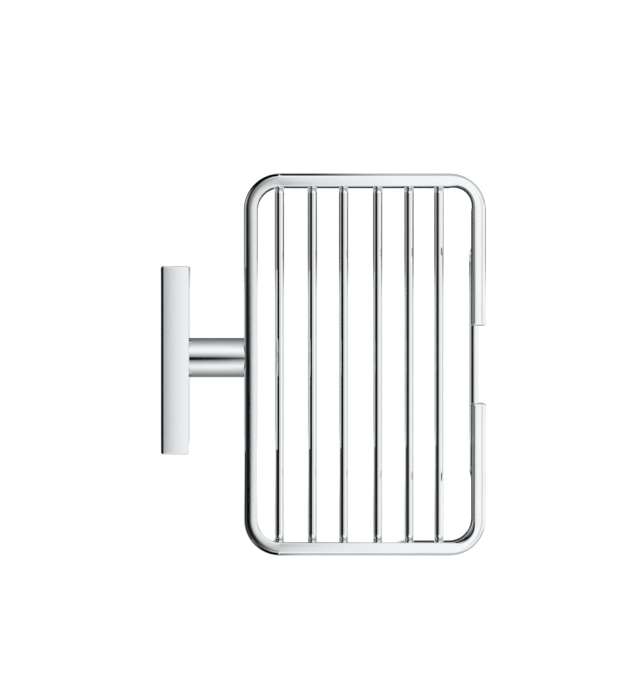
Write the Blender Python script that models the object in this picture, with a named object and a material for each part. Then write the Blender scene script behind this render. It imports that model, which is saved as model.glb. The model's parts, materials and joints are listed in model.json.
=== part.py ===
"""Wall-mounted soap basket.

An open frame of flat bar is held off the wall by a round post. Seven rods hang under the frame
and make the floor. A cover hides the wall bracket, and the post is bolted to the cover.

Units are metres. X points out from the wall, Y along the wall and Z up. The origin is on the
wall plane, in the middle of the cover.
"""

import math

import bmesh
import bpy
from mathutils import Matrix, Vector

# A share is a part of the frame's width for the rods, of the cover's length for the lugs, and of
# the bracket's length for the wall holes.

# Frame: a flat bar on edge, bent to a rounded rectangle that is open at its front
FRAME_LENGTH = 0.1600
FRAME_WIDTH = 0.1014
FRAME_CORNER_RADIUS = 0.0152
BAR_THICKNESS = 0.0056
BAR_HEIGHT = 0.0180
BAR_OUTER_EDGE_RADIUS = 0.0020
BAR_INNER_EDGE_RADIUS = 0.0012
BAR_END_RADIUS_SHARE = 0.8
FRONT_GAP = 0.0324
BASKET_SIDE_OFFSET = -0.0018

# Rods: round bar with both ends bent up into sockets under the frame, unevenly spaced
ROD_DIAMETER = 0.0040
FLOOR_ROD_SHARES = (0.1450, 0.2830, 0.4142, 0.5572, 0.6889, 0.8141)
FRONT_ROD_SHARE = 0.9605
ROD_DROP = 0.0100
ROD_BEND_RADIUS = 0.0050
FRONT_ROD_SPAN = 0.0968
SOCKET_DEPTH = 0.0020

# Post between the cover and the frame
POST_DIAMETER = 0.0167
POST_LENGTH = 0.0229
POST_SIDE_OFFSET = 0.0010

# Cover: a casing with its open side to the wall
COVER_LENGTH = 0.0788
COVER_HEIGHT = 0.0200
COVER_DEPTH = 0.0118
COVER_SIDE_WALL = 0.0020
COVER_FRONT_WALL = 0.0030
COVER_FRONT_EDGE_RADIUS = 0.0006
COVER_BACK_EDGE_RADIUS = 0.0012

# Bracket: a plate on the wall with two lugs that reach into the cover
BRACKET_THICKNESS = 0.0030
BRACKET_END_ROOM = 0.0020
BRACKET_CORNER_RADIUS = 0.0015
LUG_SPACING_SHARE = 0.381
LUG_LENGTH_SHARE = 0.127
LUG_DEPTH = 0.0045
LUG_HEIGHT = 0.0097
WALL_HOLE_SHARE = 0.791
WALL_HOLE_DIAMETER = 0.0045
WALL_SINK_DIAMETER = 0.0085
WALL_SLOT_LENGTH = 0.0030

# Grub screws: from below, through bosses in the cover, against the lugs
GRUB_DIAMETER = 0.0040
GRUB_INSET = 0.0003
GRUB_SOCKET_ACROSS = 0.0020
GRUB_SOCKET_DEPTH = 0.0020
GRUB_POINT_LENGTH = 0.0008
BOSS_LENGTH = 0.0080
BOSS_HEIGHT = 0.0025
BOSS_BACK_INSET = 0.0015

# Post bolt and its spring washer
BOLT_DIAMETER = 0.0060
BOLT_REACH = 0.0090
BOLT_HEAD_DIAMETER = 0.0100
BOLT_HEAD_HEIGHT = 0.0026
BOLT_SOCKET_ACROSS = 0.0040
BOLT_SOCKET_DEPTH = 0.0014
WASHER_DIAMETER = 0.0108
WASHER_THICKNESS = 0.0010
WASHER_SLIT = 0.0008

# Stud between the post and the frame
STUD_DIAMETER = 0.0050
STUD_REACH = 0.0080
STUD_SEAT = 0.0034

# Clearance between neighbouring pieces, and how far a cutter runs past what it cuts
CLEARANCE = 0.0003
CUT_OVERRUN = 0.0010
SAME_PLACE_SHARE = 0.001

# Counts of faces
CORNER_STEPS = 8
EDGE_STEPS = 4
END_STEPS = 3
BEND_STEPS = 7
ROD_BEVEL_STEPS = 6
POST_SIDES = 64
SCREW_SIDES = 28
SOCKET_SIDES = 20
HEX_SIDES = 6

# Places worked out from the sizes above
COVER_FACE_X = COVER_DEPTH
FRAME_WALL_X = COVER_DEPTH + POST_LENGTH
FRAME_FRONT_X = FRAME_WALL_X + FRAME_WIDTH
FRAME_UNDER_Z = -BAR_HEIGHT / 2
ROD_AXIS_Z = FRAME_UNDER_Z - ROD_DROP
FLOOR_ROD_PLACES = tuple(FRAME_WALL_X + FRAME_WIDTH * share for share in FLOOR_ROD_SHARES)
FRONT_ROD_X = FRAME_WALL_X + FRAME_WIDTH * FRONT_ROD_SHARE
FRONT_BAR_X = FRAME_FRONT_X - BAR_THICKNESS / 2
SHORT_BAR_Y = FRAME_LENGTH / 2 - BAR_THICKNESS / 2
CAVITY_FRONT_X = COVER_DEPTH - COVER_FRONT_WALL
CAVITY_LENGTH = COVER_LENGTH - 2 * COVER_SIDE_WALL
CAVITY_TOP_Z = COVER_HEIGHT / 2 - COVER_SIDE_WALL
CAVITY_UNDER_Z = -CAVITY_TOP_Z
BRACKET_TOP_Z = CAVITY_TOP_Z - CLEARANCE
BRACKET_UNDER_Z = CAVITY_UNDER_Z + BOSS_HEIGHT + CLEARANCE
BRACKET_LENGTH = CAVITY_LENGTH - 2 * BRACKET_END_ROOM
LUG_UNDER_Z = BRACKET_TOP_Z - LUG_HEIGHT
LUG_SPACING = COVER_LENGTH * LUG_SPACING_SHARE
LUG_LENGTH = COVER_LENGTH * LUG_LENGTH_SHARE
WALL_HOLE_SPACING = BRACKET_LENGTH * WALL_HOLE_SHARE
GRUB_X = BRACKET_THICKNESS + LUG_DEPTH / 2
SAME_PLACE = CLEARANCE * SAME_PLACE_SHARE
AXIS_X = Vector((1, 0, 0))
AXIS_Z = Vector((0, 0, 1))


def clear_scene():
    """Remove every object that the file opens with."""
    for item in list(bpy.data.objects):
        bpy.data.objects.remove(item, do_unlink=True)


def metal(name, colour, roughness):
    """Return a plain metal material."""
    material = bpy.data.materials.new(name)
    material.use_nodes = True
    shader = material.node_tree.nodes["Principled BSDF"]
    shader.inputs["Base Color"].default_value = (*colour, 1.0)
    shader.inputs["Metallic"].default_value = 1.0
    shader.inputs["Roughness"].default_value = roughness
    return material


def chrome():
    """Polished chrome plate."""
    return metal("chrome", (0.86, 0.87, 0.88), 0.05)


def zinc():
    """Dull zinc of the hidden bracket."""
    return metal("zinc", (0.55, 0.56, 0.57), 0.45)


def screw_steel():
    """Bright steel of the hidden fasteners."""
    return metal("screw_steel", (0.62, 0.61, 0.59), 0.28)


def add_object(name, data, material=None):
    """Put data into the scene as a named object."""
    item = bpy.data.objects.new(name, data)
    bpy.context.scene.collection.objects.link(item)
    if material is not None:
        data.materials.append(material)
    return item


def smooth(mesh):
    """Shade a mesh smooth, with its real edges kept sharp."""
    mesh.shade_smooth()
    mesh.set_sharp_from_angle(angle=math.radians(35))


def mesh_from_bmesh(name, shape):
    """Turn a bmesh into mesh data with its faces outward."""
    bmesh.ops.recalc_face_normals(shape, faces=shape.faces)
    mesh = bpy.data.meshes.new(name)
    shape.to_mesh(mesh)
    shape.free()
    smooth(mesh)
    return mesh


def add_block(shape, low, high):
    """Add a closed block between two corners to a bmesh."""
    middle = (Vector(low) + Vector(high)) / 2
    size = Vector(high) - Vector(low)
    place = Matrix.Translation(middle) @ Matrix.Diagonal((*size, 1.0))
    bmesh.ops.create_cube(shape, size=1.0, matrix=place)


def add_bar(shape, start, end, diameter, sides):
    """Add a closed round bar between two points to a bmesh."""
    start, end = Vector(start), Vector(end)
    turn = AXIS_Z.rotation_difference(end - start).to_matrix().to_4x4()
    place = Matrix.Translation((start + end) / 2) @ turn
    bmesh.ops.create_cone(
        shape, cap_ends=True, segments=sides, radius1=diameter / 2, radius2=diameter / 2,
        depth=(end - start).length, matrix=place)


def turned(points, centre, axis):
    """Closed bmesh of a profile turned about an axis, where both its ends lie."""
    shape = bmesh.new()
    line = [shape.verts.new(point) for point in points]
    edges = [shape.edges.new(pair) for pair in zip(line, line[1:])]
    bmesh.ops.spin(shape, geom=line + edges, cent=centre, axis=axis, angle=2 * math.pi,
                   steps=SCREW_SIDES, use_merge=True)
    bmesh.ops.remove_doubles(shape, verts=shape.verts, dist=SAME_PLACE)
    return shape


def modify(item, other, operation):
    """Give an object a Boolean with another one, which then counts as a guide."""
    step = item.modifiers.new(other.name, "BOOLEAN")
    step.operation = operation
    step.object = other
    other.hide_render = True
    other.display_type = "WIRE"


def guide(name, shape):
    """Make a bmesh into an object that only shapes others."""
    return add_object(name, mesh_from_bmesh(name, shape))


def arc(centre_x, centre_y, radius, start, end, steps):
    """Points on an arc, from one angle to another."""
    angles = [start + (end - start) * step / steps for step in range(steps + 1)]
    return [(centre_x + radius * math.cos(a), centre_y + radius * math.sin(a)) for a in angles]


def bar_section(grow):
    """Outline of the flat bar as (inward, up) pairs, from its outer face, grown all round."""
    half = BAR_HEIGHT / 2
    outer, inner = BAR_OUTER_EDGE_RADIUS, BAR_INNER_EDGE_RADIUS
    right = math.pi / 2
    corners = (
        (outer, half - outer, outer, 2 * right, right),
        (BAR_THICKNESS - inner, half - inner, inner, right, 0),
        (BAR_THICKNESS - inner, inner - half, inner, 0, -right),
        (outer, outer - half, outer, -right, -2 * right))
    points = []
    for centre, height, radius, start, end in corners:
        points += arc(centre, height, radius + grow, start, end, EDGE_STEPS)
    return points


def frame_path():
    """Outer outline of the frame as (point, outward direction) pairs, round from gap to gap."""
    radius = FRAME_CORNER_RADIUS
    half = FRAME_LENGTH / 2
    middle = BASKET_SIDE_OFFSET
    front, wall = FRAME_FRONT_X, FRAME_WALL_X
    corners = (
        (front - radius, middle + half - radius, 0),
        (wall + radius, middle + half - radius, 1),
        (wall + radius, middle - half + radius, 2),
        (front - radius, middle - half + radius, 3))
    path = []
    for centre_x, centre_y, quarter in corners:
        for step in range(CORNER_STEPS + 1):
            angle = (quarter + step / CORNER_STEPS) * math.pi / 2
            out = (math.cos(angle), math.sin(angle))
            path.append(((centre_x + radius * out[0], centre_y + radius * out[1]), out))
    return path


def end_rings(side):
    """Rings that round off the bar at the gap, from its end inwards."""
    radius = BAR_END_RADIUS_SHARE * min(BAR_INNER_EDGE_RADIUS, BAR_OUTER_EDGE_RADIUS)
    rings = []
    for step in range(END_STEPS + 1):
        angle = (1 - step / END_STEPS) * math.pi / 2
        away = FRONT_GAP / 2 + radius * (1 - math.sin(angle))
        point = (FRAME_FRONT_X, BASKET_SIDE_OFFSET + side * away)
        rings.append((point, (1, 0), bar_section(-radius * (1 - math.cos(angle)))))
    return rings


def swept_bar(stations):
    """Closed bmesh through (point, outward direction, section) stations on a level path."""
    shape = bmesh.new()
    rings = []
    for point, out, section in stations:
        ring = [shape.verts.new((point[0] - out[0] * inward, point[1] - out[1] * inward, up))
                for inward, up in section]
        rings.append(ring)
    for here, there in zip(rings, rings[1:]):
        for index in range(len(here)):
            after = (index + 1) % len(here)
            shape.faces.new((here[index], here[after], there[after], there[index]))
    shape.faces.new(rings[0])
    shape.faces.new(rings[-1])
    return shape


def leg_up(run_x, top_x):
    """Direction from a rod's run up its leg."""
    return Vector((top_x - run_x, 0, FRAME_UNDER_Z - ROD_AXIS_Z)).normalized()


def rod_places():
    """Name, run place, leg top place and half span of every rod."""
    rods = []
    for number, run_x in enumerate(FLOOR_ROD_PLACES, start=1):
        rods.append((f"floor_rod_{number}", run_x, run_x, SHORT_BAR_Y))
    rods.append(("front_rod", FRONT_ROD_X, FRONT_BAR_X, FRONT_ROD_SPAN / 2))
    return rods


def rod_points(run_x, top_x, half_span):
    """Axis of a rod: up a leg, round a bend, along the run and up the other leg."""
    up = leg_up(run_x, top_x)
    lift = (FRAME_UNDER_Z + SOCKET_DEPTH - CLEARANCE - ROD_AXIS_Z) / up.z
    points = []
    for side in (-1, 1):
        corner = Vector((run_x, BASKET_SIDE_OFFSET + side * half_span, ROD_AXIS_Z))
        along = Vector((0, -side, 0))
        centre = corner + ROD_BEND_RADIUS * (up + along)
        leg = [corner + lift * up]
        for step in range(BEND_STEPS + 1):
            angle = step / BEND_STEPS * math.pi / 2
            leg.append(centre - ROD_BEND_RADIUS * (along * math.cos(angle) + up * math.sin(angle)))
        points += leg if side < 0 else leg[::-1]
    return points


def make_rod(name, run_x, top_x, half_span, material):
    """One rod, as a round curve along its axis."""
    points = rod_points(run_x, top_x, half_span)
    data = bpy.data.curves.new(name, "CURVE")
    data.dimensions = "3D"
    line = data.splines.new("POLY")
    line.points.add(len(points) - 1)
    for place, point in zip(line.points, points):
        place.co = (*point, 1.0)
    data.bevel_depth = ROD_DIAMETER / 2
    data.bevel_resolution = ROD_BEVEL_STEPS
    data.use_fill_caps = True
    return add_object(name, data, material)


def socket_cutter():
    """Sockets under the frame for the rods' legs, and the hole for the stud."""
    shape = bmesh.new()
    for _, run_x, top_x, half_span in rod_places():
        up = leg_up(run_x, top_x)
        for side in (-1, 1):
            mouth = Vector((top_x, BASKET_SIDE_OFFSET + side * half_span, FRAME_UNDER_Z))
            start = mouth - up * CUT_OVERRUN
            end = mouth + up * SOCKET_DEPTH
            add_bar(shape, start, end, ROD_DIAMETER + 2 * CLEARANCE, SOCKET_SIDES)
    face = Vector((FRAME_WALL_X, POST_SIDE_OFFSET, 0))
    start = face - AXIS_X * CUT_OVERRUN
    end = face + AXIS_X * STUD_SEAT
    add_bar(shape, start, end, STUD_DIAMETER + 2 * CLEARANCE, SOCKET_SIDES)
    return guide("socket_cutter", shape)


def make_frame(material):
    """The open frame, with a socket for every leg and one for the stud."""
    body = [(point, out, bar_section(0)) for point, out in frame_path()]
    shape = swept_bar(end_rings(1) + body + end_rings(-1)[::-1])
    frame = add_object("frame_bar", mesh_from_bmesh("frame_bar", shape), material)
    modify(frame, socket_cutter(), "DIFFERENCE")
    return frame


def make_post(material):
    """The post, bored at both ends, its far end shaped to the frame's rounded edges."""
    shape = bmesh.new()
    start = Vector((COVER_FACE_X + CLEARANCE, POST_SIDE_OFFSET, 0))
    end = Vector((FRAME_WALL_X + BAR_OUTER_EDGE_RADIUS, POST_SIDE_OFFSET, 0))
    add_bar(shape, start, end, POST_DIAMETER, POST_SIDES)
    post = add_object("post", mesh_from_bmesh("post", shape), material)
    half = POST_DIAMETER / 2 + CUT_OVERRUN
    grown = bar_section(CLEARANCE)
    line = [((FRAME_WALL_X, POST_SIDE_OFFSET + side * half), (-1, 0), grown) for side in (1, -1)]
    modify(post, guide("frame_clearance", swept_bar(line)), "DIFFERENCE")
    bores = bmesh.new()
    bolt_end = start + AXIS_X * (BOLT_REACH + CLEARANCE)
    add_bar(bores, start - AXIS_X * CUT_OVERRUN, bolt_end, BOLT_DIAMETER + 2 * CLEARANCE, SCREW_SIDES)
    stud_end = Vector((FRAME_WALL_X - STUD_REACH - CLEARANCE, POST_SIDE_OFFSET, 0))
    add_bar(bores, end, stud_end, STUD_DIAMETER + 2 * CLEARANCE, SCREW_SIDES)
    modify(post, guide("post_bores", bores), "DIFFERENCE")
    return post


def make_stud(material):
    """Threaded pin between the post and the frame."""
    shape = bmesh.new()
    start = (FRAME_WALL_X - STUD_REACH, POST_SIDE_OFFSET, 0)
    end = (FRAME_WALL_X + STUD_SEAT - CLEARANCE, POST_SIDE_OFFSET, 0)
    add_bar(shape, start, end, STUD_DIAMETER, SCREW_SIDES)
    return add_object("frame_stud", mesh_from_bmesh("frame_stud", shape), material)


def bevel_edges(shape, chosen, width, steps):
    """Round the chosen edges of a bmesh."""
    bmesh.ops.bevel(
        shape, geom=chosen, offset=width, offset_type="OFFSET", segments=steps, profile=0.5,
        affect="EDGES", clamp_overlap=True)


def level_edges(shape, place_x):
    """Edges of a bmesh that lie wholly at one distance from the wall."""
    return [edge for edge in shape.edges
            if all(abs(vert.co.x - place_x) < SAME_PLACE for vert in edge.verts)]


def make_cover(material):
    """The casing on the wall, with bosses for the grub screws and a hole for the bolt."""
    half_length, half_height = COVER_LENGTH / 2, COVER_HEIGHT / 2
    shape = bmesh.new()
    add_block(shape, (0, -half_length, -half_height), (COVER_DEPTH, half_length, half_height))
    bevel_edges(shape, level_edges(shape, 0), COVER_BACK_EDGE_RADIUS, EDGE_STEPS)
    bevel_edges(shape, level_edges(shape, COVER_DEPTH), COVER_FRONT_EDGE_RADIUS, EDGE_STEPS)
    cover = add_object("wall_cover", mesh_from_bmesh("wall_cover", shape), material)

    cavity = bmesh.new()
    add_block(cavity, (-CUT_OVERRUN, -CAVITY_LENGTH / 2, CAVITY_UNDER_Z),
              (CAVITY_FRONT_X, CAVITY_LENGTH / 2, CAVITY_TOP_Z))
    bolt_place = Vector((CAVITY_FRONT_X, POST_SIDE_OFFSET, 0))
    modify(cover, guide("cover_cavity", cavity), "DIFFERENCE")

    bosses = bmesh.new()
    for side in (-1, 1):
        middle = side * LUG_SPACING / 2
        add_block(
            bosses,
            (BOSS_BACK_INSET, middle - BOSS_LENGTH / 2, CAVITY_UNDER_Z - COVER_SIDE_WALL / 2),
            (CAVITY_FRONT_X + COVER_FRONT_WALL / 2, middle + BOSS_LENGTH / 2,
             CAVITY_UNDER_Z + BOSS_HEIGHT))
    modify(cover, guide("cover_bosses", bosses), "UNION")

    holes = bmesh.new()
    add_bar(holes, bolt_place - AXIS_X * CUT_OVERRUN,
            bolt_place + AXIS_X * (COVER_FRONT_WALL + CUT_OVERRUN),
            BOLT_DIAMETER + 2 * CLEARANCE, SCREW_SIDES)
    for side in (-1, 1):
        middle = side * LUG_SPACING / 2
        add_bar(holes, (GRUB_X, middle, -half_height - CUT_OVERRUN),
                (GRUB_X, middle, CAVITY_UNDER_Z + BOSS_HEIGHT + CUT_OVERRUN),
                GRUB_DIAMETER + 2 * CLEARANCE, SCREW_SIDES)
    modify(cover, guide("cover_holes", holes), "DIFFERENCE")
    return cover


def rounded_plate(half_length, under_z, top_z, radius, thickness):
    """Closed bmesh of a plate on the wall plane, with rounded corners."""
    right = math.pi / 2
    corners = (
        (half_length - radius, top_z - radius, 0),
        (radius - half_length, top_z - radius, 1),
        (radius - half_length, under_z + radius, 2),
        (half_length - radius, under_z + radius, 3))
    outline = []
    for centre_y, centre_z, quarter in corners:
        outline += arc(centre_y, centre_z, radius, quarter * right, (quarter + 1) * right, EDGE_STEPS)
    shape = bmesh.new()
    face = shape.faces.new([shape.verts.new((0, y, z)) for y, z in outline])
    grown = bmesh.ops.extrude_face_region(shape, geom=[face])["geom"]
    moved = [item for item in grown if isinstance(item, bmesh.types.BMVert)]
    bmesh.ops.translate(shape, verts=moved, vec=AXIS_X * thickness)
    return shape


def slot_cutter(centre_y, centre_z, slot, start_x, end_x, start_size, end_size):
    """Closed bmesh of a slot across the plate, or of its countersink where the ends differ."""
    shape = bmesh.new()
    rings = []
    right = math.pi / 2
    steps = SCREW_SIDES // 2
    for place_x, size in ((start_x, start_size), (end_x, end_size)):
        outline = arc(centre_y + slot / 2, centre_z, size / 2, -right, right, steps)
        outline += arc(centre_y - slot / 2, centre_z, size / 2, right, 3 * right, steps)
        rings.append([shape.verts.new((place_x, y, z)) for y, z in outline])
    count = len(rings[0])
    for index in range(count):
        after = (index + 1) % count
        shape.faces.new((rings[0][index], rings[0][after], rings[1][after], rings[1][index]))
    shape.faces.new(rings[0])
    shape.faces.new(rings[1])
    return shape


def make_bracket(material):
    """The wall plate with its lugs, and a countersunk slot near each end."""
    plate = rounded_plate(BRACKET_LENGTH / 2, BRACKET_UNDER_Z, BRACKET_TOP_Z,
                          BRACKET_CORNER_RADIUS, BRACKET_THICKNESS)
    bracket = add_object("wall_bracket", mesh_from_bmesh("wall_bracket", plate), material)
    lugs = bmesh.new()
    for side in (-1, 1):
        middle = side * LUG_SPACING / 2
        add_block(
            lugs,
            (BRACKET_THICKNESS / 2, middle - LUG_LENGTH / 2, LUG_UNDER_Z),
            (BRACKET_THICKNESS + LUG_DEPTH, middle + LUG_LENGTH / 2, BRACKET_TOP_Z))
    modify(bracket, guide("bracket_lugs", lugs), "UNION")
    middle_z = (BRACKET_TOP_Z + BRACKET_UNDER_Z) / 2
    sink = (WALL_SINK_DIAMETER - WALL_HOLE_DIAMETER) / 2
    for side, name in ((-1, "left"), (1, "right")):
        centre = side * WALL_HOLE_SPACING / 2
        hole = slot_cutter(centre, middle_z, WALL_SLOT_LENGTH, -CUT_OVERRUN,
                           BRACKET_THICKNESS + CUT_OVERRUN, WALL_HOLE_DIAMETER, WALL_HOLE_DIAMETER)
        modify(bracket, guide(f"wall_slot_{name}", hole), "DIFFERENCE")
        cone = slot_cutter(centre, middle_z, WALL_SLOT_LENGTH, BRACKET_THICKNESS - sink,
                           BRACKET_THICKNESS + CUT_OVERRUN, WALL_HOLE_DIAMETER,
                           WALL_SINK_DIAMETER + 2 * CUT_OVERRUN)
        modify(bracket, guide(f"wall_sink_{name}", cone), "DIFFERENCE")
    return bracket


def make_grub_screw(name, side, material):
    """A grub screw with a socket below and a cone point against its lug."""
    low = -COVER_HEIGHT / 2 + GRUB_INSET
    high = LUG_UNDER_Z - CLEARANCE
    half = GRUB_DIAMETER / 2
    tip = half - GRUB_POINT_LENGTH
    profile = ((0, low), (half, low), (half, high - GRUB_POINT_LENGTH), (tip, high), (0, high))
    centre = Vector((GRUB_X, side * LUG_SPACING / 2, 0))
    points = [centre + Vector((out, 0, up)) for out, up in profile]
    screw = add_object(name, mesh_from_bmesh(name, turned(points, centre, AXIS_Z)), material)
    socket = bmesh.new()
    add_bar(socket, centre + AXIS_Z * (low - CUT_OVERRUN),
            centre + AXIS_Z * (low + GRUB_SOCKET_DEPTH), GRUB_SOCKET_ACROSS, HEX_SIDES)
    modify(screw, guide(f"{name}_socket", socket), "DIFFERENCE")
    return screw


def make_post_bolt(material):
    """Bolt from inside the cover into the post."""
    under_head = CAVITY_FRONT_X - CLEARANCE - WASHER_THICKNESS - CLEARANCE
    head_back = under_head - BOLT_HEAD_HEIGHT
    end = COVER_FACE_X + CLEARANCE + BOLT_REACH
    profile = (
        (head_back, 0), (head_back, BOLT_HEAD_DIAMETER / 2), (under_head, BOLT_HEAD_DIAMETER / 2),
        (under_head, BOLT_DIAMETER / 2), (end, BOLT_DIAMETER / 2), (end, 0))
    centre = Vector((0, POST_SIDE_OFFSET, 0))
    points = [centre + Vector((along, 0, out)) for along, out in profile]
    shape = turned(points, centre, AXIS_X)
    bolt = add_object("post_bolt", mesh_from_bmesh("post_bolt", shape), material)
    socket = bmesh.new()
    back = Vector((head_back, POST_SIDE_OFFSET, 0))
    add_bar(socket, back - AXIS_X * CUT_OVERRUN, back + AXIS_X * BOLT_SOCKET_DEPTH,
            BOLT_SOCKET_ACROSS, HEX_SIDES)
    modify(bolt, guide("bolt_socket", socket), "DIFFERENCE")
    return bolt


def make_washer(material):
    """Spring washer under the bolt's head, slit at its top."""
    front = CAVITY_FRONT_X - CLEARANCE
    place = Vector((front, POST_SIDE_OFFSET, 0))
    shape = bmesh.new()
    add_bar(shape, place, place - AXIS_X * WASHER_THICKNESS, WASHER_DIAMETER, SCREW_SIDES)
    washer = add_object("spring_washer", mesh_from_bmesh("spring_washer", shape), material)
    bore = bmesh.new()
    add_bar(bore, place + AXIS_X * CUT_OVERRUN, place - AXIS_X * (WASHER_THICKNESS + CUT_OVERRUN),
            BOLT_DIAMETER + 2 * CLEARANCE, SCREW_SIDES)
    modify(washer, guide("washer_bore", bore), "DIFFERENCE")
    slit = bmesh.new()
    add_block(
        slit,
        (front - WASHER_THICKNESS - CUT_OVERRUN, POST_SIDE_OFFSET - WASHER_SLIT / 2, 0),
        (front + CUT_OVERRUN, POST_SIDE_OFFSET + WASHER_SLIT / 2, WASHER_DIAMETER))
    modify(washer, guide("washer_slit", slit), "DIFFERENCE")
    return washer


def main():
    """Model the whole basket."""
    clear_scene()
    plated = chrome()
    make_frame(plated)
    for name, run_x, top_x, half_span in rod_places():
        make_rod(name, run_x, top_x, half_span, plated)
    make_post(plated)
    make_cover(plated)
    make_bracket(zinc())
    steel = screw_steel()
    make_grub_screw("grub_screw_left", -1, steel)
    make_grub_screw("grub_screw_right", 1, steel)
    make_post_bolt(steel)
    make_washer(steel)
    make_stud(steel)


main()
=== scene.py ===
"""Looks of a wall-mounted soap basket: its chrome pieces, their finishes and a plain studio."""

import json

import bpy
import numpy as np
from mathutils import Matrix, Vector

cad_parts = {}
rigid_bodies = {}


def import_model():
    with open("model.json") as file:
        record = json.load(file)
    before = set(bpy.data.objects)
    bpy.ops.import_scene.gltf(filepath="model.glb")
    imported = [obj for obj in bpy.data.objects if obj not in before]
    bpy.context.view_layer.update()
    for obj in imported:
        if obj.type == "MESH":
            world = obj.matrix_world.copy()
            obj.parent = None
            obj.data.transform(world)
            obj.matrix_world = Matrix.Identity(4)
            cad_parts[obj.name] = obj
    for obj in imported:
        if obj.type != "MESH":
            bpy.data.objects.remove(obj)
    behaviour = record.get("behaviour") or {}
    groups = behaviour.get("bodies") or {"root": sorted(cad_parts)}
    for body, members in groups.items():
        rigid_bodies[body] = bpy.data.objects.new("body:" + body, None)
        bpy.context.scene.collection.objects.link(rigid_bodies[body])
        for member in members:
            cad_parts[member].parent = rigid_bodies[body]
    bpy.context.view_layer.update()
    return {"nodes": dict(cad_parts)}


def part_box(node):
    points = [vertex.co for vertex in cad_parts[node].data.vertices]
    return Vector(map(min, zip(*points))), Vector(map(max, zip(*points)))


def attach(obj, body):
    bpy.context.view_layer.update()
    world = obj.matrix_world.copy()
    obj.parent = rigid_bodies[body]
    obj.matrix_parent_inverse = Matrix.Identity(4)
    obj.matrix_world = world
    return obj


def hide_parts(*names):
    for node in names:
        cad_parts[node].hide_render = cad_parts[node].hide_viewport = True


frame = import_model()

bl_info = {
    "name": "Soap basket looks",
    "version": (1, 0, 0),
    "blender": (4, 5, 0),
    "location": "3D View > Sidebar > Soap Basket",
    "description": "Builds the chrome soap basket's visible pieces, their finishes and a studio",
    "category": "Object",
}

FRAME_LOW, FRAME_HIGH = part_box("frame_bar")
COVER_LOW, COVER_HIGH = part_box("wall_cover")
POST_LOW, POST_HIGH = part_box("post")
ROD_NAMES = [f"floor_rod_{number}" for number in range(1, 7)]
HARDWARE = ("grub_screw_left", "grub_screw_right", "post_bolt", "spring_washer", "frame_stud")

# Counts of points and rings
CORNER_STEPS = 33
BAR_EDGE_STEPS = 13
BAR_END_STEPS = 9
ROD_BEND_STEPS = 19
ROD_RING_STEPS = 7
ROD_SIDES = 40
POST_SIDES = 96
COVER_FACE_STEPS = 5
COVER_EDGE_STEPS = 9
COVER_CORNER_STEPS = 7
HOLE_SIDES = 32
TENT_RINGS = 49
TENT_SIDES = 97

# Edges between faces that turn by more than this angle stay sharp
SHARP_ANGLE = np.radians(40.0)

# Metals: how much finer the second noise is, its part in the height, and the darker tint
FINE_SCALE = 9.0
FINE_HEIGHT = 0.15
DARK_TINT = 0.975

# Tent: gain of its two halves, how far towards low Y their middle lies, and its open poles
TENT_GAIN = 1.08
SIDEWAYS_SHIFT = 0.09
POLE_GAP = 0.001

# Card behind the wall plane, a painted dark reflection: its corner, the two sides that leave it, and
# its light
DARK_REFLECTION_CARD = ((-0.020, -0.120, -0.007), (0.0, 0.160, 0.0), (0.0, 0.0, 0.047))
DARK_REFLECTION_LEVEL = 0.015

# Colour of the background, and the camera's sensor in millimetres
WHITE = (1.0, 1.0, 1.0, 1.0)
SENSOR_WIDTH = 36.0


def length(name, description, default):
    """A length in metres that a user may change."""
    return bpy.props.FloatProperty(
        name=name, description=description, default=default, min=0.0, precision=5,
        subtype="DISTANCE", unit="LENGTH")


def share(name, description, default, top=1.0):
    """A plain number that a user may change."""
    return bpy.props.FloatProperty(
        name=name, description=description, default=default, min=0.0, max=top, precision=3)


def colour(name, description, default):
    """A colour that a user may change."""
    return bpy.props.FloatVectorProperty(
        name=name, description=description, default=default, min=0.0, max=1.0, size=3,
        subtype="COLOR")


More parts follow.
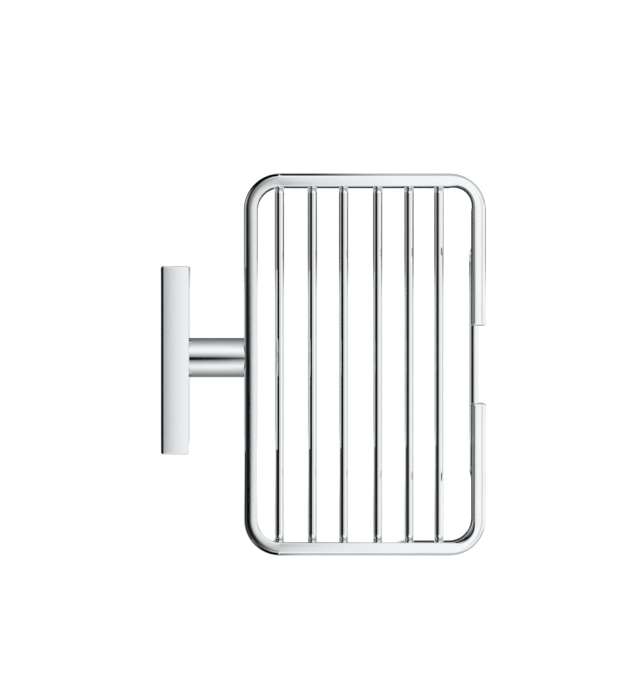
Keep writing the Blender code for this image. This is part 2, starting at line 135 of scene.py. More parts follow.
class BasketSizes(bpy.types.PropertyGroup):
    """Sizes of the visible pieces."""

    corner_radius: length("Frame corner", "Outer radius of the frame's corners", 0.0152)
    bar_thickness: length("Bar thickness", "Thickness of the frame's bar, seen from above", 0.0056)
    bar_outer_edge: length("Bar outer edge", "Rounding of the bar's outer edges", 0.0020)
    bar_inner_edge: length("Bar inner edge", "Rounding of the bar's inner edges", 0.0006)
    bar_crown: length("Bar crown", "Radius of the slight crown across the bar's top", 0.120)
    bar_inner_fall: length("Bar inner fall", "Width of the softer strip along the inner edge", 0.0019)
    bar_corner_edge: length(
        "Bar corner edge", "Rounding of the inner edge in the front corner of low Y", 0.0019)
    bar_corner_draw: length(
        "Bar corner draw", "How much thinner the bar is in the front corner of high Y", 0.0011)
    front_gap: length("Front gap", "Gap in the frame's front side", 0.0324)
    gap_edge: length("Gap edge", "Rounding of the bar's ends at the gap", 0.00096)
    rod_diameter: length("Rod diameter", "Diameter of the floor rods", 0.00399)
    rod_bend: length("Rod bend", "Radius of the rods' bends, at their axis", 0.0050)
    rod_drop: length("Rod drop", "Drop from the frame's underside to the rods' axis", 0.0100)
    rod_sink: length("Rod sink", "How far a rod's leg goes into the frame", 0.0008)
    braze: length("Brazing", "Width of the brazed ring at the top of a leg", 0.0003)
    front_rod_span: length("Front rod span", "Distance between the front rod's legs", 0.0968)
    front_lean: length("Front rod lean", "How far the front rod stands in from its bar", 0.0012)
    post_diameter: length("Post diameter", "Diameter of the post", 0.0167)
    post_sink: length("Post sink", "How far the post runs into its neighbours", 0.0001)
    cover_wall: length("Cover wall", "Wall of the cover at its sides", 0.0020)
    cover_front_wall: length("Cover front wall", "Wall of the cover at its front", 0.0030)
    cover_front_edge: length("Cover front edge", "Rounding of the cover's front edges", 0.0004)
    cover_back_edge: length("Cover back edge", "Rounding of the cover's edges at the wall", 0.0012)
    cover_corner: length("Cover corner", "Rounding of the cover's long corners", 0.0004)
    cover_crown: length("Cover crown", "Radius of the crown across the cover's top", 0.706)
    cover_lean: share("Cover lean", "Slope of the cover's top beside the wall", 0.01515)
    boss_back: length("Boss back", "Distance of the cover's bosses from the wall", 0.0015)
    boss_width: length("Boss width", "Width of a boss", 0.0080)
    boss_height: length("Boss height", "Height of a boss inside the cover", 0.0025)
    boss_sink: length("Boss sink", "How far a boss runs into the cover's walls", 0.0010)
    grub_room: length("Grub room", "Room round a grub screw in its hole", 0.0003)
    grub_reach: length("Grub hole reach", "How far a grub hole is cut above the underside", 0.0060)
    bolt_hole: length("Bolt hole", "Diameter of the bolt's hole", 0.0066)
    bolt_reach: length("Bolt hole reach", "Depth of the bolt's hole in the cover's front", 0.0025)


class BasketFinish(bpy.types.PropertyGroup):
    """Colours and gloss of the metals."""

    chrome: colour("Chrome", "Colour of the chrome plate", (0.835, 0.860, 0.875))
    chrome_roughness: share("Chrome roughness", "Roughness of the chrome plate", 0.045)
    chrome_wave: share("Chrome waviness", "Strength of the polish's slight waves", 0.05)
    zinc: colour("Zinc", "Colour of the hidden bracket", (0.50, 0.51, 0.53))
    zinc_roughness: share("Zinc roughness", "Roughness of the hidden bracket", 0.42)
    steel: colour("Screw steel", "Colour of the hidden fasteners", (0.58, 0.57, 0.55))
    steel_roughness: share("Steel roughness", "Roughness of the hidden fasteners", 0.26)


class BasketStage(bpy.types.PropertyGroup):
    """Floor, light and camera."""

    camera_height: length("Camera height", "Height of the camera over the frame's middle", 1.556)
    camera_x: length("Camera place", "Distance of the camera from the wall", 0.06347)
    camera_y: length("Camera side", "Distance of the camera from the cover's middle", 0.00426)
    lens: bpy.props.FloatProperty(
        name="Lens", description="Focal length, in millimetres on a 36 mm sensor", default=190.29)
    floor_drop: length("Floor drop", "Distance of the floor below the frame's middle", 0.45)
    floor_size: length("Floor size", "Half width of the floor", 0.60)
    flag_drop: length("Flag drop", "Distance of the dark flag below the frame's middle", 0.30)
    flag_size: length("Flag size", "Half width of the dark flag", 0.75)
    floor_colour: colour("Floor", "Colour of the floor", (0.90, 0.90, 0.90))
    floor_glow: share("Floor glow", "Brightness added to the floor as it is seen", 0.58, 2.0)
    tent_radius: length("Tent radius", "Radius of the light tent", 8.0)


def add_mesh(name, points, faces):
    """Mesh object in the scene from points and faces."""
    mesh = bpy.data.meshes.new(name)
    mesh.from_pydata(points, [], faces)
    item = bpy.data.objects.new(name, mesh)
    bpy.context.scene.collection.objects.link(item)
    return item


def shade(mesh):
    """Shade a mesh smoothly up to its sharp edges."""
    mesh.shade_smooth()
    mesh.set_sharp_from_angle(angle=SHARP_ANGLE)


def closed_surface(name, rings, first_pole, last_pole):
    """Mesh object through rings of points, closed by a fan to a pole at either end.

    Ring i, point j is joined to its neighbours by one quad. Each triangle of the quads adds its
    first corner times the cross product of the other two. Where the sum comes out below zero,
    every face is turned round, so that they all face outwards.
    """
    count, around = rings.shape[:2]
    corners = np.concatenate([rings.reshape(-1, 3), [first_pole], [last_pole]])
    here = np.arange(count * around).reshape(count, around)
    after = np.roll(here, -1, axis=1)
    quads = np.stack([here[:-1], after[:-1], after[1:], here[1:]], axis=-1).reshape(-1, 4)
    low = np.stack([after[0], here[0], np.full(around, count * around)], axis=-1)
    high = np.stack([here[-1], after[-1], np.full(around, count * around + 1)], axis=-1)
    a, b, c = (corners[quads[:, column]] for column in (0, 1, 2))
    d = corners[quads[:, 3]]
    volume = np.einsum("ij,ij->i", a, np.cross(b, c)) + np.einsum("ij,ij->i", a, np.cross(c, d))
    if volume.sum() < 0:
        quads, low, high = quads[:, ::-1], low[:, ::-1], high[:, ::-1]
    item = add_mesh(name, corners.tolist(), quads.tolist() + low.tolist() + high.tolist())
    item.data.validate()
    shade(item.data)
    return item


def finish_piece(item, material, slot, *nodes):
    """Give a piece its material and body, and hide the CAD nodes that it stands for. The slot is not
    used.
    """
    item.data.materials.append(material)
    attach(item, "root")
    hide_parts(*nodes)


def rounded_loop(half_wide, half_high, radii, arc_steps, between):
    """Closed outlines of rounded rectangles, one for every entry of half_wide.

    Each corner is an arc about its own centre, and the straight sides are points part of the
    way from one arc to the next. radii holds the four corners' radii, from the right top on.
    """
    angles = np.linspace(0.0, np.pi / 2, arc_steps)
    arcs = []
    for quarter, (across, up) in enumerate(((1, 1), (-1, 1), (-1, -1), (1, -1))):
        radius = radii[quarter]
        turn = angles + quarter * np.pi / 2
        centre = np.stack([across * (half_wide - radius), up * (half_high - radius)], axis=-1)
        ring = np.stack([np.cos(turn), np.sin(turn)], axis=-1)
        arcs.append(centre[:, None, :] + radius[:, None, None] * ring[None])
    parts = []
    for quarter in range(4):
        here, there = arcs[quarter], arcs[(quarter + 1) % 4]
        gap = there[:, :1] - here[:, -1:]
        parts += [here, here[:, -1:] + gap * np.asarray(between)[None, :, None]]
    return np.concatenate(parts, axis=1)


def near_ends(count, near=0.01):
    """Shares of a straight: one point close to either end and the rest spread evenly."""
    return np.concatenate([[near], np.linspace(0.0, 1.0, count + 2)[1:-1], [1.0 - near]])


def bar_sections(sizes, outs, inset):
    """Outlines of the frame's bar as (inward, up), one for every outward direction and inset.

    A rounded rectangle is shrunk by the inset. In one front corner its inner edge is rounder
    and in the other its inner half thinner, by twice the product of the outward direction's
    two parts. Its top and bottom are then lowered by the square of the distance from the bar's
    middle over twice the crown's radius, and near the inner edge by the square of the distance
    into that strip over the crown's radius. On the wall side there is no such strip.
    """
    half_wide = sizes.bar_thickness / 2
    half_high = FRAME_HIGH.z
    turned = 2.0 * np.clip(outs[:, 0], 0.0, None) * outs[:, 1]
    low_turn, high_turn = np.clip(-turned, 0.0, None), np.clip(turned, 0.0, None)
    outer = sizes.bar_outer_edge - inset
    inner = sizes.bar_inner_edge + (sizes.bar_corner_edge - sizes.bar_inner_edge) * low_turn - inset
    radii = (inner, outer, outer, inner)
    loop = rounded_loop(
        half_wide - inset, half_high - inset, radii, BAR_EDGE_STEPS, near_ends(7))
    draw = sizes.bar_corner_draw / half_wide * high_turn[:, None]
    loop[..., 0] -= draw * np.clip(loop[..., 0], 0.0, None)
    strip = sizes.bar_inner_fall * np.clip(1.0 + outs[:, 0], 0.0, 1.0)[:, None]
    inwards = np.clip(loop[..., 0] - half_wide + strip, 0.0, None)
    fall = loop[..., 0] ** 2 / (2 * sizes.bar_crown) + inwards ** 2 / sizes.bar_crown
    fall *= loop[..., 1] / half_high
    return np.stack([loop[..., 0] + half_wide, loop[..., 1] - fall], axis=-1)


def frame_stations(sizes):
    """Points, outward directions and insets along the frame, from one side of the gap round.

    The outline is four quarter circles joined by straights. At the gap the section shrinks
    along a quarter circle, which rounds the bar's ends.
    """
    radius = sizes.corner_radius
    middle = (FRAME_LOW.y + FRAME_HIGH.y) / 2
    centre_x = (FRAME_HIGH.x - radius, FRAME_LOW.x + radius)
    centre_y = (FRAME_HIGH.y - radius, FRAME_LOW.y + radius)
    angles = np.linspace(0.0, np.pi / 2, CORNER_STEPS)
    points, outs = [], []
    for quarter, (column, row) in enumerate(((0, 0), (1, 0), (1, 1), (0, 1))):
        turn = angles + quarter * np.pi / 2
        out = np.stack([np.cos(turn), np.sin(turn)], axis=-1)
        arc = np.array([centre_x[column], centre_y[row]]) + radius * out
        if points:
            start = points[-1][-1]
            steps = near_ends(5, 0.004)[:, None]
            points.append(start + (arc[0] - start) * steps)
            outs.append(np.repeat(out[:1], len(steps), axis=0))
        points.append(arc)
        outs.append(out)
    ease = np.linspace(np.pi / 2, 0.0, BAR_END_STEPS)
    away = sizes.front_gap / 2 + sizes.gap_edge * (1.0 - np.sin(ease))
    shrink = sizes.gap_edge * (1.0 - np.cos(ease))
    steps = near_ends(3, 0.004)
    run = away[-1] + (centre_y[0] - middle - away[-1]) * steps
    away = np.concatenate([away, run])
    shrink = np.concatenate([shrink, np.zeros(len(run))])
    start = np.stack([np.full(len(away), FRAME_HIGH.x), middle + away], axis=-1)
    end = np.stack([np.full(len(away), FRAME_HIGH.x), middle - away], axis=-1)[::-1]
    ahead = np.tile([1.0, 0.0], (len(away), 1))
    inset = np.concatenate([shrink, np.zeros(sum(map(len, points))), shrink[::-1]])
    return np.concatenate([start, *points, end]), np.concatenate([ahead, *outs, ahead]), inset


def carried(points, outs, sections):
    """Sections carried along a level path: inward runs against the outward direction."""
    flat = points[:, None, :] - outs[:, None, :] * sections[..., :1]
    return np.concatenate([flat, sections[..., 1:]], axis=-1)


def capped(rings, shares=(0.02, 0.5)):
    """The same rings with flat ones added inside the first and last, and both middles."""
    low, high = rings[0].mean(axis=0), rings[-1].mean(axis=0)
    steps = np.asarray(shares)[:, None, None]
    inside_low = (rings[0] + (low - rings[0]) * steps)[::-1]
    inside_high = rings[-1] + (high - rings[-1]) * steps
    return np.concatenate([inside_low, rings, inside_high]), low, high


def rod_rings(sizes, run_x, top_x, middle, half_span):
    """Rings of a rod: leg, bend, run, bend, leg, with a brazed ring at the top of each leg.

    The axis lies in a plane through the run and both legs. Each ring is a circle about the
    axis. Near the frame its radius grows by the brazing's width times the square of a share,
    which runs from 0 to 1 over a height of four such widths.
    """
    bend, drop, braze_height = sizes.rod_bend, sizes.rod_drop, 4 * sizes.braze
    slope = (top_x - run_x) / drop
    top = (drop + sizes.rod_sink) * np.hypot(1.0, slope)
    under = drop * np.hypot(1.0, slope)
    plain = under - braze_height
    leg = np.concatenate([[top], np.linspace(under, plain, ROD_RING_STEPS),
                          bend + (plain - bend) * near_ends(1, 0.04)[::-1]])
    turn = np.linspace(np.pi, 1.5 * np.pi, ROD_BEND_STEPS)
    run = near_ends(9, 0.002)
    side = half_span - bend
    along = np.concatenate([
        np.full(len(leg), -half_span), -side + bend * np.cos(turn), -side + 2 * side * run])
    height = np.concatenate([leg, bend + bend * np.sin(turn), np.zeros(len(run))])
    normal = np.concatenate([
        np.tile([-1.0, 0.0], (len(leg), 1)), np.stack([np.cos(turn), np.sin(turn)], axis=-1),
        np.tile([0.0, -1.0], (len(run), 1))])
    last = len(leg) + len(turn)
    along = np.concatenate([along, -along[:last][::-1]])
    height = np.concatenate([height, height[:last][::-1]])
    mirrored = normal[:last][::-1] * np.array([-1.0, 1.0])
    normal = np.concatenate([normal, mirrored])
    close = np.clip(1.0 - (under - height) / braze_height, 0.0, 1.0)
    radius = sizes.rod_diameter / 2 + sizes.braze * close ** 2
    up = np.array([slope, 0.0, 1.0]) / np.hypot(1.0, slope)
    sideways = np.cross(up, [0.0, 1.0, 0.0])
    axis = np.array([run_x, middle, FRAME_LOW.z - drop]) + height[:, None] * up
    axis[:, 1] += along
    outward = normal[:, :1] * np.array([0.0, 1.0, 0.0]) + normal[:, 1:] * up
    around = np.linspace(0.0, 2 * np.pi, ROD_SIDES, endpoint=False)
    ring = (outward[:, None, :] * np.cos(around)[None, :, None]
            + sideways * np.sin(around)[None, :, None])
    return axis[:, None, :] + radius[:, None, None] * ring


def post_rings(sizes):
    """Rings of the post: a cylinder whose far end follows the frame's rounded face.

    The end's distance is the frame's face plus the edge's depth at that height, which is the
    edge's radius less the height of a circle of that radius.
    """
    radius = sizes.post_diameter / 2
    middle = (POST_LOW.y + POST_HIGH.y) / 2
    around = np.linspace(0.0, 2 * np.pi, POST_SIDES, endpoint=False)
    across, up = radius * np.cos(around), radius * np.sin(around)
    edge = sizes.bar_outer_edge
    over = np.clip(np.abs(up) - (FRAME_HIGH.z - edge), 0.0, edge)
    far = FRAME_LOW.x + edge - np.sqrt(edge ** 2 - over ** 2) + sizes.post_sink
    near = COVER_HIGH.x - sizes.post_sink
    steps = np.concatenate([[0.0], near_ends(3, 0.02), [1.0]])[:, None]
    place = near + (far - near) * steps
    return np.stack([place, np.broadcast_to(middle + across, place.shape),
                     np.broadcast_to(up, place.shape)], axis=-1)


def cover_rings(sizes):
    """Rings of the cover, from its front face round its edges and into its open back.

    Every ring is a rounded rectangle in a plane along the wall, given by its distance from the
    wall and its inset. Rings just beside an edge keep its shading narrow. The outside's height
    falls with that distance, by the lean and by its square over twice the crown's radius.
    """
    half_long = (COVER_HIGH.y - COVER_LOW.y) / 2
    half_high = (COVER_HIGH.z - COVER_LOW.z) / 2
    depth, wall = COVER_HIGH.x, sizes.cover_wall
    inner_face = depth - sizes.cover_front_wall
    front, back = sizes.cover_front_edge, sizes.cover_back_edge
    bend = np.linspace(0.0, np.pi / 2, COVER_EDGE_STEPS)
    deepest = half_high - 0.1 * wall
    straight = near_ends(7, 0.004)[::-1]
    inside = np.concatenate([[0.0], near_ends(1, 0.01), [1.0]])
    outer_place = np.concatenate([
        np.full(COVER_FACE_STEPS, depth), depth - front * (1.0 - np.cos(bend)),
        back + (depth - front - back) * straight, back * (1.0 - np.sin(bend))])
    outer_inset = np.concatenate([
        np.linspace(deepest, front * 1.05, COVER_FACE_STEPS), front * (1.0 - np.sin(bend)),
        np.zeros(len(straight)), back * (1.0 - np.cos(bend))])
    place = np.concatenate([outer_place, [0.0], inner_face * inside, np.full(3, inner_face)])
    inset = np.concatenate([outer_inset, [wall * 0.97], np.full(len(inside), wall),
                            np.linspace(wall * 1.05, deepest, 3)])
    corner = np.clip(sizes.cover_corner - inset, 0.02 * sizes.cover_corner, None)
    loop = rounded_loop(half_long - inset, half_high - inset, (corner,) * 4, COVER_CORNER_STEPS,
                        near_ends(7, 0.004))
    outside = np.arange(len(place)) < len(outer_place)
    fall = np.where(outside, sizes.cover_lean * place + place ** 2 / (2 * sizes.cover_crown), 0.0)
    height = loop[..., 1] * (1.0 - fall / half_high)[:, None]
    middle = (COVER_LOW.y + COVER_HIGH.y) / 2
    return np.stack(
        [np.broadcast_to(place[:, None], height.shape), middle + loop[..., 0], height], axis=-1)


def round_hole(name, centre, axis, radius, reach):
    """Closed cylinder that only cuts others: a circle carried along one of the axes."""
    around = np.linspace(0.0, 2 * np.pi, HOLE_SIDES, endpoint=False)
    first, second = [column for column in range(3) if column != axis]
    rings = np.zeros((2, HOLE_SIDES, 3)) + np.asarray(centre)
    rings[..., first] += radius * np.cos(around)
    rings[..., second] += radius * np.sin(around)
    rings[:, :, axis] += np.array([-reach, reach])[:, None]
    return closed_surface(name, rings, rings[0].mean(axis=0), rings[1].mean(axis=0))


def block(name, low, high):
    """Closed block between two corners, made as a four-sided ring carried upwards."""
    low, high = np.asarray(low), np.asarray(high)
    across = np.array([[0, 0], [1, 0], [1, 1], [0, 1]])
    flat = low[:2] + (high - low)[:2] * across
    rings = np.stack([np.column_stack([flat, np.full(4, level)]) for level in (low[2], high[2])])
    return closed_surface(name, rings, rings[0].mean(axis=0), rings[1].mean(axis=0))


def carve(item, tools):
    """Join or cut the item by each tool in turn, keep the result and remove the tools."""
    for tool, operation in tools:
        step = item.modifiers.new(tool.name, "BOOLEAN")
        step.object, step.operation, step.solver = tool, operation, "EXACT"
    graph = bpy.context.evaluated_depsgraph_get()
    mesh = bpy.data.meshes.new_from_object(item.evaluated_get(graph))
    item.modifiers.clear()
    item.data = mesh
    shade(mesh)
    for tool, _ in tools:
        bpy.data.objects.remove(tool, do_unlink=True)


def add_node(tree, kind, **inputs):
    """Add a shader node and set or link its inputs, named by their sockets or numbers."""
    node = tree.nodes.new(kind)
    for name, value in inputs.items():
        key = int(name[1:]) if name[1:].isdigit() else name.replace("_", " ")
        socket = node.inputs[key]
        if isinstance(value, bpy.types.NodeSocket):
            tree.links.new(value, socket)
        else:
            socket.default_value = value
    return node


def maths(tree, operation, first, second=0.0, third=0.0, clamp=False):
    """Result of one sum, whose inputs may be numbers or sockets."""
    node = add_node(tree, "ShaderNodeMath", i0=first, i1=second, i2=third)
    node.operation = operation
    node.use_clamp = clamp
    return node.outputs[0]


def spread(tree, value, low, high, to_low=0.0, to_high=1.0, smooth=False):
    """Value taken from one range to another and held within it."""
    node = add_node(tree, "ShaderNodeMapRange", Value=value, From_Min=low, From_Max=high,
                    To_Min=to_low, To_Max=to_high)
    node.interpolation_type = "SMOOTHSTEP" if smooth else "LINEAR"
    return node.outputs["Result"]


def product(tree, *factors):
    """Product of two or more values."""
    result = factors[0]
    for factor in factors[1:]:
        result = maths(tree, "MULTIPLY", result, factor)
    return result


def curve_of(tree, value, stops):
    """Value looked up on straight lines through (place, level) stops, the first two its ends."""
    node = add_node(tree, "ShaderNodeValToRGB", Fac=value)
    points = node.color_ramp.elements
    for index, (place, level) in enumerate(stops):
        point = points[index] if index < 2 else points.new(place)
        point.position, point.color = place, (level, level, level, 1.0)
    return node.outputs["Color"]


def blend(tree, part, first, second):
    """The first value, given way to the second one by a part from 0 to 1."""
    kept = maths(tree, "MULTIPLY", first, maths(tree, "SUBTRACT", 1.0, part))
    return maths(tree, "ADD", kept, maths(tree, "MULTIPLY", second, part))


def surface_marks():
    """Node group of the metals' fine marks: two sizes of noise on the object's coordinates.

    Level is the base plus each noise less a half, times its drift or grain. Height is the slow
    noise plus a small part of the fine one, for a bump. Tint is the slow noise.
    """
    group = bpy.data.node_groups.new("surface_marks", "ShaderNodeTree")
    face = group.interface
    for name, default in (("Scale", 200.0), ("Base", 0.05), ("Drift", 0.02), ("Grain", 0.01)):
        socket = face.new_socket(name=name, in_out="INPUT", socket_type="NodeSocketFloat")
        socket.default_value = default
    for name in ("Level", "Height", "Tint"):
        face.new_socket(name=name, in_out="OUTPUT", socket_type="NodeSocketFloat")
    inputs = group.nodes.new("NodeGroupInput").outputs
    place = group.nodes.new("ShaderNodeTexCoord").outputs["Object"]
    slow = add_node(group, "ShaderNodeTexNoise", Vector=place, Scale=inputs["Scale"], Detail=3.0)
    fine_scale = product(group, inputs["Scale"], FINE_SCALE)
    fine = add_node(group, "ShaderNodeTexNoise", Vector=place, Scale=fine_scale, Detail=2.0)
    drift = product(group, maths(group, "SUBTRACT", slow.outputs[0], 0.5), inputs["Drift"])
    grain = product(group, maths(group, "SUBTRACT", fine.outputs[0], 0.5), inputs["Grain"])
    level = maths(group, "ADD", inputs["Base"], maths(group, "ADD", drift, grain), clamp=True)
    height = maths(group, "MULTIPLY_ADD", fine.outputs[0], FINE_HEIGHT, slow.outputs[0])
    outputs = group.nodes.new("NodeGroupOutput").inputs
    for name, socket in (("Level", level), ("Height", height), ("Tint", slow.outputs[0])):
        group.links.new(socket, outputs[name])
    return group


def metal(name, tint, roughness, scale, drift, grain, bump, bump_depth):
    """Metal whose roughness, tint and slight waves come from the shared marks."""
    material = bpy.data.materials.new(name)
    material.use_nodes = True
    tree = material.node_tree
    shader = tree.nodes["Principled BSDF"]
    shader.inputs["Metallic"].default_value = 1.0
    group = tree.nodes.new("ShaderNodeGroup")
    group.node_tree = bpy.data.node_groups.get("surface_marks") or surface_marks()
    for socket, value in (("Scale", scale), ("Base", roughness), ("Drift", drift), ("Grain", grain)):
        group.inputs[socket].default_value = value
    mix = tree.nodes.new("ShaderNodeMix")
    mix.data_type = "RGBA"
    mix.inputs["A"].default_value = (*(part * DARK_TINT for part in tint), 1.0)
    mix.inputs["B"].default_value = (*tint, 1.0)
    tree.links.new(spread(tree, group.outputs["Tint"], 0.35, 0.65), mix.inputs["Factor"])
    tree.links.new(mix.outputs["Result"], shader.inputs["Base Color"])
    tree.links.new(group.outputs["Level"], shader.inputs["Roughness"])
    relief = add_node(tree, "ShaderNodeBump", Height=group.outputs["Height"], Strength=bump,
                      Distance=bump_depth)
    tree.links.new(relief.outputs["Normal"], shader.inputs["Normal"])
    return material


def chrome(finish):
    """Polished chrome plate, shared by all the visible pieces."""
    return bpy.data.materials.get("polished_chrome") or metal(
        "polished_chrome", tuple(finish.chrome), finish.chrome_roughness, scale=60.0,
        drift=0.03, grain=0.01, bump=finish.chrome_wave, bump_depth=0.00004)


def zinc(finish):
    """Dull zinc with a coarse, cloudy grain."""
    return metal("zinc_plate", tuple(finish.zinc), finish.zinc_roughness, scale=350.0,
                 drift=0.25, grain=0.12, bump=0.25, bump_depth=0.00005)


def screw_steel(finish):
    """Bright steel with fine marks."""
    return metal("screw_steel", tuple(finish.steel), finish.steel_roughness, scale=900.0,
                 drift=0.12, grain=0.08, bump=0.2, bump_depth=0.00003)


class BASKET_OT_frame(bpy.types.Operator):
    """Build the frame: a crowned flat bar with rounded edges, open at its front"""

    bl_idname = "basket.frame"
    bl_label = "Frame"

    def execute(self, context):
        sizes = context.scene.basket_sizes
        points, outs, inset = frame_stations(sizes)
        rings, low, high = capped(carried(points, outs, bar_sections(sizes, outs, inset)))
        item = closed_surface("frame", rings, low, high)
        finish_piece(item, chrome(context.scene.basket_finish), "chrome", "frame_bar")
        # The rods in the photograph don't mirror the frame, so mirror rays pass it by.
        item.visible_glossy = False
        return {"FINISHED"}


class BASKET_OT_rods(bpy.types.Operator):
    """Build the six floor rods and the front rod, with their bent and brazed legs"""

    bl_idname = "basket.rods"
    bl_label = "Floor rods"

    def execute(self, context):
        sizes = context.scene.basket_sizes
        middle = (FRAME_LOW.y + FRAME_HIGH.y) / 2
        half = (FRAME_HIGH.y - FRAME_LOW.y) / 2 - sizes.bar_thickness / 2
        for name in ROD_NAMES:
            low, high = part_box(name)
            run_x = (low.x + high.x) / 2
            self.build(context, name, rod_rings(sizes, run_x, run_x, middle, half))
        top_x = FRAME_HIGH.x - sizes.bar_thickness / 2
        rings = rod_rings(
            sizes, top_x - sizes.front_lean, top_x, middle, sizes.front_rod_span / 2)
        self.build(context, "front_rod", rings)
        return {"FINISHED"}

    def build(self, context, node, rings):
        """One rod, closed at the tops of its legs."""
        item = closed_surface(f"chrome_{node}", *capped(rings))
        finish_piece(item, chrome(context.scene.basket_finish), "chrome", node)


class BASKET_OT_post(bpy.types.Operator):
    """Build the round post, its far end shaped to the frame"""

    bl_idname = "basket.post"
    bl_label = "Post"

    def execute(self, context):
        item = closed_surface("round_post", *capped(post_rings(context.scene.basket_sizes)))
        finish_piece(item, chrome(context.scene.basket_finish), "chrome", "post")
        return {"FINISHED"}


class BASKET_OT_cover(bpy.types.Operator):
    """Build the cover with its open back, the bosses inside it and its screw holes"""

    bl_idname = "basket.cover"
    bl_label = "Wall cover"

    def execute(self, context):
        sizes = context.scene.basket_sizes
        rings = cover_rings(sizes)
        item = closed_surface("chrome_cover", rings, rings[0].mean(axis=0), rings[-1].mean(axis=0))
        inner = COVER_LOW.z + sizes.cover_wall
        face = COVER_HIGH.x - sizes.cover_front_wall
        half = sizes.boss_width / 2
        bosses, holes = [], []
        for side in ("left", "right"):
            low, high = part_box(f"grub_screw_{side}")
            x, y = (low.x + high.x) / 2, (low.y + high.y) / 2
            boss = block(f"boss_{side}", (sizes.boss_back, y - half, inner - sizes.boss_sink),
                         (face + sizes.boss_sink, y + half, inner + sizes.boss_height))
            bosses.append((boss, "UNION"))
            radius = (high.x - low.x) / 2 + sizes.grub_room
            hole = round_hole(f"grub_hole_{side}", (x, y, COVER_LOW.z), 2, radius, sizes.grub_reach)
            holes.append((hole, "DIFFERENCE"))
        low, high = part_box("post_bolt")
        centre = (face, (low.y + high.y) / 2, 0.0)
        hole = round_hole("bolt_hole", centre, 0, sizes.bolt_hole / 2, sizes.bolt_reach)
        carve(item, [*bosses, *holes, (hole, "DIFFERENCE")])
        finish_piece(item, chrome(context.scene.basket_finish), "chrome", "wall_cover")
        return {"FINISHED"}


class BASKET_OT_hardware(bpy.types.Operator):
    """Finish the hidden bracket, screws, bolt, washer and stud"""

    bl_idname = "basket.hardware"
    bl_label = "Hidden hardware"

    def execute(self, context):
        finish = context.scene.basket_finish
        plate, steel = zinc(finish), screw_steel(finish)
        self.coat("wall_bracket", plate)
        for name in HARDWARE:
            self.coat(name, steel)
        return {"FINISHED"}

    def coat(self, name, material):
        """Put a material on a CAD node."""
        data = frame["nodes"][name].data
        data.materials.clear()
        data.materials.append(material)


def light_only(name):
    """New material with an empty tree, and the tree's place on the object."""
    material = bpy.data.materials.new(name)
    material.use_nodes = True
    tree = material.node_tree
    tree.nodes.clear()
    return material, tree, add_node(tree, "ShaderNodeTexCoord").outputs["Object"]


def by_axis(tree, place):
    """The three parts of a place or direction."""
    split = add_node(tree, "ShaderNodeSeparateXYZ", Vector=place)
    return [split.outputs[axis] for axis in ("X", "Y", "Z")]


def give_light(tree, level):
    """Let the material give plain white light of a level."""
    glow = add_node(tree, "ShaderNodeEmission", Strength=level)
    out = tree.nodes.new("ShaderNodeOutputMaterial")
    tree.links.new(glow.outputs[0], out.inputs["Surface"])


def left_light(tree, x, sideways, height):
    """Light from the tent's left half, on the wall's side: the larger of two parts.

    The first is a level by the sideways direction times a level by height. Up to four fifths of
    the height it stops just left of the middle line, and above that it fades slowly towards the
    wall. The second is a level by height, brightest below, that fades out sideways.
    """
    wide = curve_of(tree, sideways, (
        (0.0, 0.0), (1.0, 1.0), (0.12, 0.0), (0.19, 0.26), (0.31, 0.44), (0.41, 0.60),
        (0.50, 0.74), (0.59, 0.88), (0.67, 0.96), (0.77, 1.0)))
    high = curve_of(tree, height, (
        (0.0, 0.12), (1.0, 1.0), (0.125, 0.17), (0.30, 0.28), (0.38, 0.37), (0.455, 0.45),
        (0.525, 0.56), (0.595, 0.68), (0.71, 0.90), (0.82, 1.0)))
    fall = blend(tree, spread(tree, height, 0.80, 0.90), spread(tree, x, -0.048, -0.036),
                 spread(tree, x, -0.40, -0.05, smooth=True))
    low = curve_of(tree, height, (
        (0.0, 0.58), (1.0, 0.0), (0.257, 0.58), (0.42, 0.515), (0.585, 0.45), (0.66, 0.34),
        (0.74, 0.14), (0.82, 0.04), (0.90, 0.015), (0.957, 0.008)))
    fade = spread(tree, sideways, 0.80, 0.35, smooth=True)
    return maths(tree, "MAXIMUM", product(tree, wide, high, fall), product(tree, low, fade))


def right_light(tree, x, sideways, height):
    """Light from the tent's right half, away from the wall.

    It is a level by height, and gives way to a level by x where the direction leans away from
    the wall and hardly sideways.
    """
    over = curve_of(tree, height, (
        (0.0, 0.20), (1.0, 1.0), (0.125, 0.26), (0.405, 0.52), (0.685, 0.86), (0.875, 1.0)))
    beside = curve_of(tree, x, (
        (0.0, 0.65), (1.0, 1.0), (0.28, 0.65), (0.41, 0.72), (0.54, 0.82), (0.67, 0.92),
        (0.87, 1.0)))
    aside = product(tree, spread(tree, x, 0.12, 0.22, smooth=True),
                    spread(tree, sideways, 0.35, 0.15, smooth=True))
    return blend(tree, aside, over, beside)


